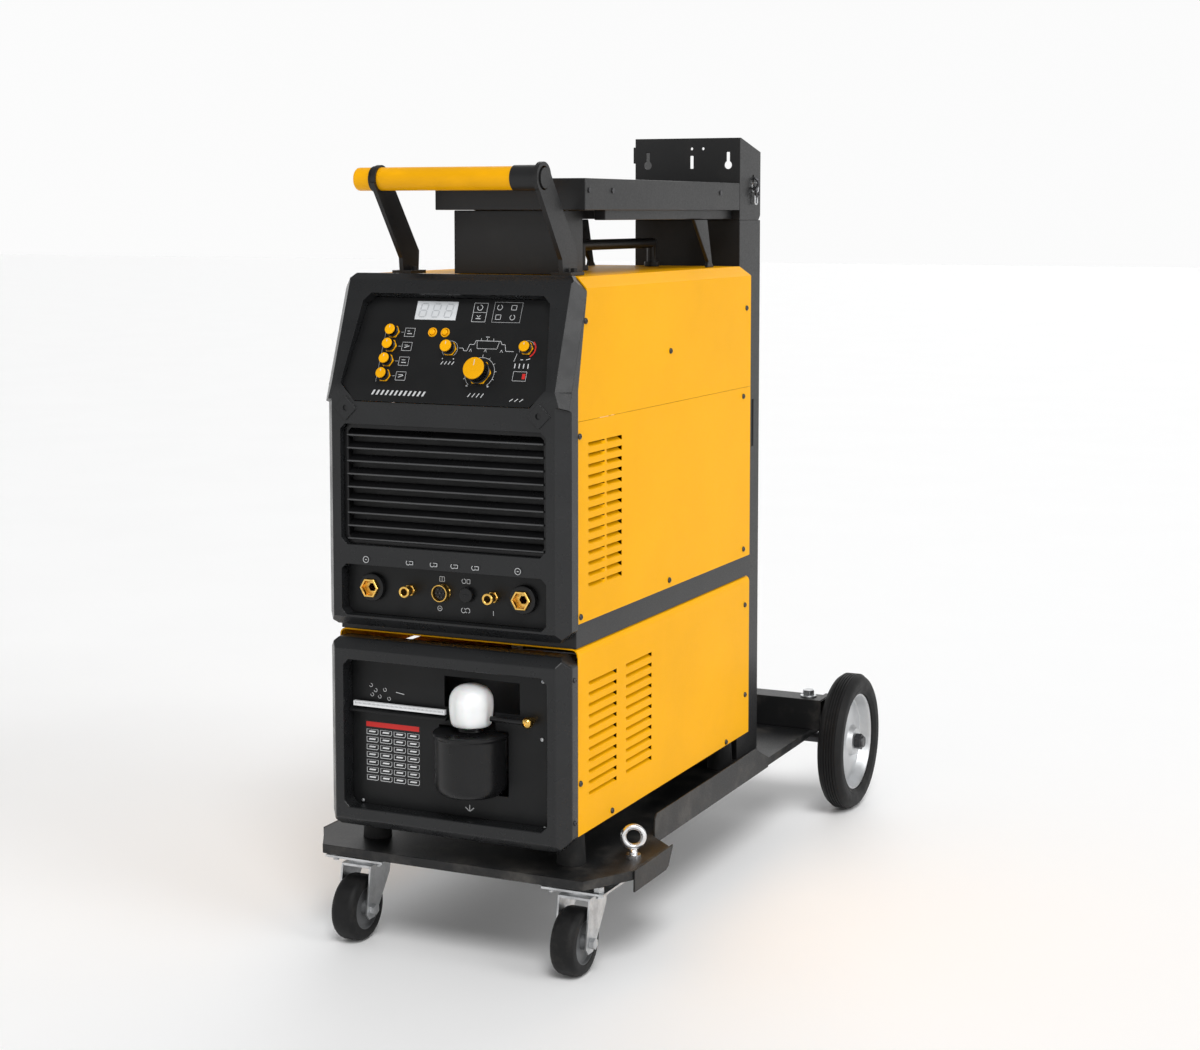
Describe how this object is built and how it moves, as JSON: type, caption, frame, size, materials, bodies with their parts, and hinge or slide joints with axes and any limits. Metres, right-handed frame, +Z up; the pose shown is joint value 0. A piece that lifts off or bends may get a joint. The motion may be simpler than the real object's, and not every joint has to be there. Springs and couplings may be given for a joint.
{
  "type": "tig welding set",
  "caption": "Inverter TIG welding power source on a water cooler, on a wheeled trolley with castors, push handle, shelf and gas cylinder column.",
  "frame": {"origin": "on the floor under the middle of the whole set's bounding box", "axes": "+X to the right seen from the front, +Y from the front panel to the rear wheels, +Z up"},
  "size_m": [0.6, 1.23, 1.234],
  "materials": {
    "powder_black": "satin powder coat",
    "deck_black": "satin powder coat",
    "yellow_paint": "semi-gloss powder coat",
    "frame_plastic": "fine grained satin",
    "panel_film": "satin film",
    "black_plastic": "moulded satin",
    "knob_plastic": "satin moulded, black skirt",
    "white_plastic": "translucent satin moulded",
    "display_glass": "backlit display window",
    "zinc": "bright zinc plate",
    "eye_silver": "bright zinc plate",
    "rim_aluminium": "turned aluminium",
    "tyre_rubber": "matt rubber",
    "castor_rubber": "matt rubber",
    "foot_rubber": "matt rubber",
    "brass": "machined brass",
    "tank_plastic": "blow moulded",
    "cooler_aluminium": "plain",
    "pump_paint": "plain",
    "board": "circuit board and heat sink",
    "winding": "varnished winding",
    "switch_red": "moulded"
  },
  "bodies": {
    "trolley": {"deck_plate": "deck_black", "side_skirts": "deck_black", "axle_beam": "deck_black", "rear_axle": "zinc", "rear_column": "powder_black", "cylinder_bracket": "powder_black", "tray_shelf": "powder_black", "shelf_supports": "powder_black", "castor_plates": "zinc", "eye_bolt": "eye_silver", "fasteners": "zinc", "case_feet": "foot_rubber", "spacer_plinth": "powder_black", "cooler_base": "powder_black", "cooler_cover": "yellow_paint", "cooler_bezel": "frame_plastic", "cooler_front_panel": "panel_film", "coolant_tank": "tank_plastic", "radiator": "cooler_aluminium", "coolant_pump": "pump_paint", "filler_pot": "black_plastic", "brass_fittings": "brass", "welder_base": "powder_black", "welder_cover": "yellow_paint", "welder_sides": "yellow_paint", "rear_panels": "powder_black", "welder_bezel": "frame_plastic", "control_panel": "panel_film", "display_window": "display_glass", "front_grille": "black_plastic", "connector_panel": "panel_film", "weld_sockets": "black_plastic", "socket_inserts": "brass", "torch_connector": "brass", "carry_handle": "powder_black", "handle_grip": "yellow_paint", "handle_arms": "powder_black", "inverter_board": "board", "transformer": "winding", "cable_gland": "black_plastic"},
    "castor_swivel_left": {"castor_fork_left": "zinc"},
    "castor_swivel_right": {"castor_fork_right": "zinc"},
    "castor_roller_left": {"castor_wheel_left": "castor_rubber"},
    "castor_roller_right": {"castor_wheel_right": "castor_rubber"},
    "rear_wheel_left": {"rear_tyre_left": "tyre_rubber", "rear_rim_left": "rim_aluminium"},
    "rear_wheel_right": {"rear_tyre_right": "tyre_rubber", "rear_rim_right": "rim_aluminium"},
    "filler_cap": {"filler_cap": "white_plastic"},
    "knob_1": {"knob_1": "knob_plastic"},
    "knob_2": {"knob_2": "knob_plastic"},
    "knob_3": {"knob_3": "knob_plastic"},
    "knob_4": {"knob_4": "knob_plastic"},
    "slope_knob": {"slope_knob": "knob_plastic"},
    "balance_knob": {"balance_knob": "knob_plastic"},
    "current_dial": {"current_dial": "knob_plastic"},
    "button_left": {"button_left": "knob_plastic"},
    "button_right": {"button_right": "knob_plastic"},
    "fan_rotor": {"fan_rotor": "black_plastic"},
    "power_switch": {"power_switch": "switch_red"}
  },
  "joints": [
    {"name": "castor_left_swivel", "type": "hinge", "parent": "trolley", "child": "castor_swivel_left", "pos_m": [-0.184, -0.488, 0.12], "axis": [0, 0, 1], "continuous": true},
    {"name": "castor_left_roll", "type": "hinge", "parent": "castor_swivel_left", "child": "castor_roller_left", "pos_m": [-0.184, -0.52, 0.05], "axis": [1, 0, 0], "continuous": true},
    {"name": "rear_left_roll", "type": "hinge", "parent": "trolley", "child": "rear_wheel_left", "pos_m": [-0.27, 0.49, 0.125], "axis": [1, 0, 0], "continuous": true},
    {"name": "castor_right_swivel", "type": "hinge", "parent": "trolley", "child": "castor_swivel_right", "pos_m": [0.184, -0.488, 0.12], "axis": [0, 0, 1], "continuous": true},
    {"name": "castor_right_roll", "type": "hinge", "parent": "castor_swivel_right", "child": "castor_roller_right", "pos_m": [0.184, -0.52, 0.05], "axis": [1, 0, 0], "continuous": true},
    {"name": "rear_right_roll", "type": "hinge", "parent": "trolley", "child": "rear_wheel_right", "pos_m": [0.27, 0.49, 0.125], "axis": [1, 0, 0], "continuous": true},
    {"name": "filler_cap_turn", "type": "hinge", "parent": "trolley", "child": "filler_cap", "pos_m": [0.036, -0.558, 0.3635], "axis": [0, 0, 1], "range_deg": [0, 90]},
    {"name": "knob_1_turn", "type": "hinge", "parent": "trolley", "child": "knob_1", "pos_m": [-0.1, -0.53883, 0.93274], "axis": [0, -0.9135, 0.4067], "range_deg": [-135, 135]},
    {"name": "knob_2_turn", "type": "hinge", "parent": "trolley", "child": "knob_2", "pos_m": [-0.1, -0.54778, 0.91264], "axis": [0, -0.9135, 0.4067], "range_deg": [-135, 135]},
    {"name": "knob_3_turn", "type": "hinge", "parent": "trolley", "child": "knob_3", "pos_m": [-0.1, -0.55714, 0.89163], "axis": [0, -0.9135, 0.4067], "range_deg": [-135, 135]},
    {"name": "knob_4_turn", "type": "hinge", "parent": "trolley", "child": "knob_4", "pos_m": [-0.1, -0.56649, 0.87062], "axis": [0, -0.9135, 0.4067], "range_deg": [-135, 135]},
    {"name": "slope_knob_turn", "type": "hinge", "parent": "trolley", "child": "slope_knob", "pos_m": [-0.001, -0.5486, 0.91081], "axis": [0, -0.9135, 0.4067], "range_deg": [-135, 135]},
    {"name": "balance_knob_turn", "type": "hinge", "parent": "trolley", "child": "balance_knob", "pos_m": [0.123, -0.54697, 0.91447], "axis": [0, -0.9135, 0.4067], "range_deg": [-135, 135]},
    {"name": "current_dial_turn", "type": "hinge", "parent": "trolley", "child": "current_dial", "pos_m": [0.055, -0.56283, 0.87884], "axis": [0, -0.9135, 0.4067], "range_deg": [-140, 140]},
    {"name": "button_left_press", "type": "slide", "parent": "trolley", "child": "button_left", "axis": [0, 0.9135, -0.4067], "range_m": [0, 0.0015], "stiffness_N_per_m": 400},
    {"name": "button_right_press", "type": "slide", "parent": "trolley", "child": "button_right", "axis": [0, 0.9135, -0.4067], "range_m": [0, 0.0015], "stiffness_N_per_m": 400},
    {"name": "fan_spin", "type": "hinge", "parent": "trolley", "child": "fan_rotor", "pos_m": [-0.11, 0.124, 0.771], "axis": [0, 1, 0], "continuous": true},
    {"name": "power_switch_turn", "type": "hinge", "parent": "trolley", "child": "power_switch", "pos_m": [-0.07, 0.144, 0.646], "axis": [0, 1, 0], "range_deg": [0, 90]}
  ]
}
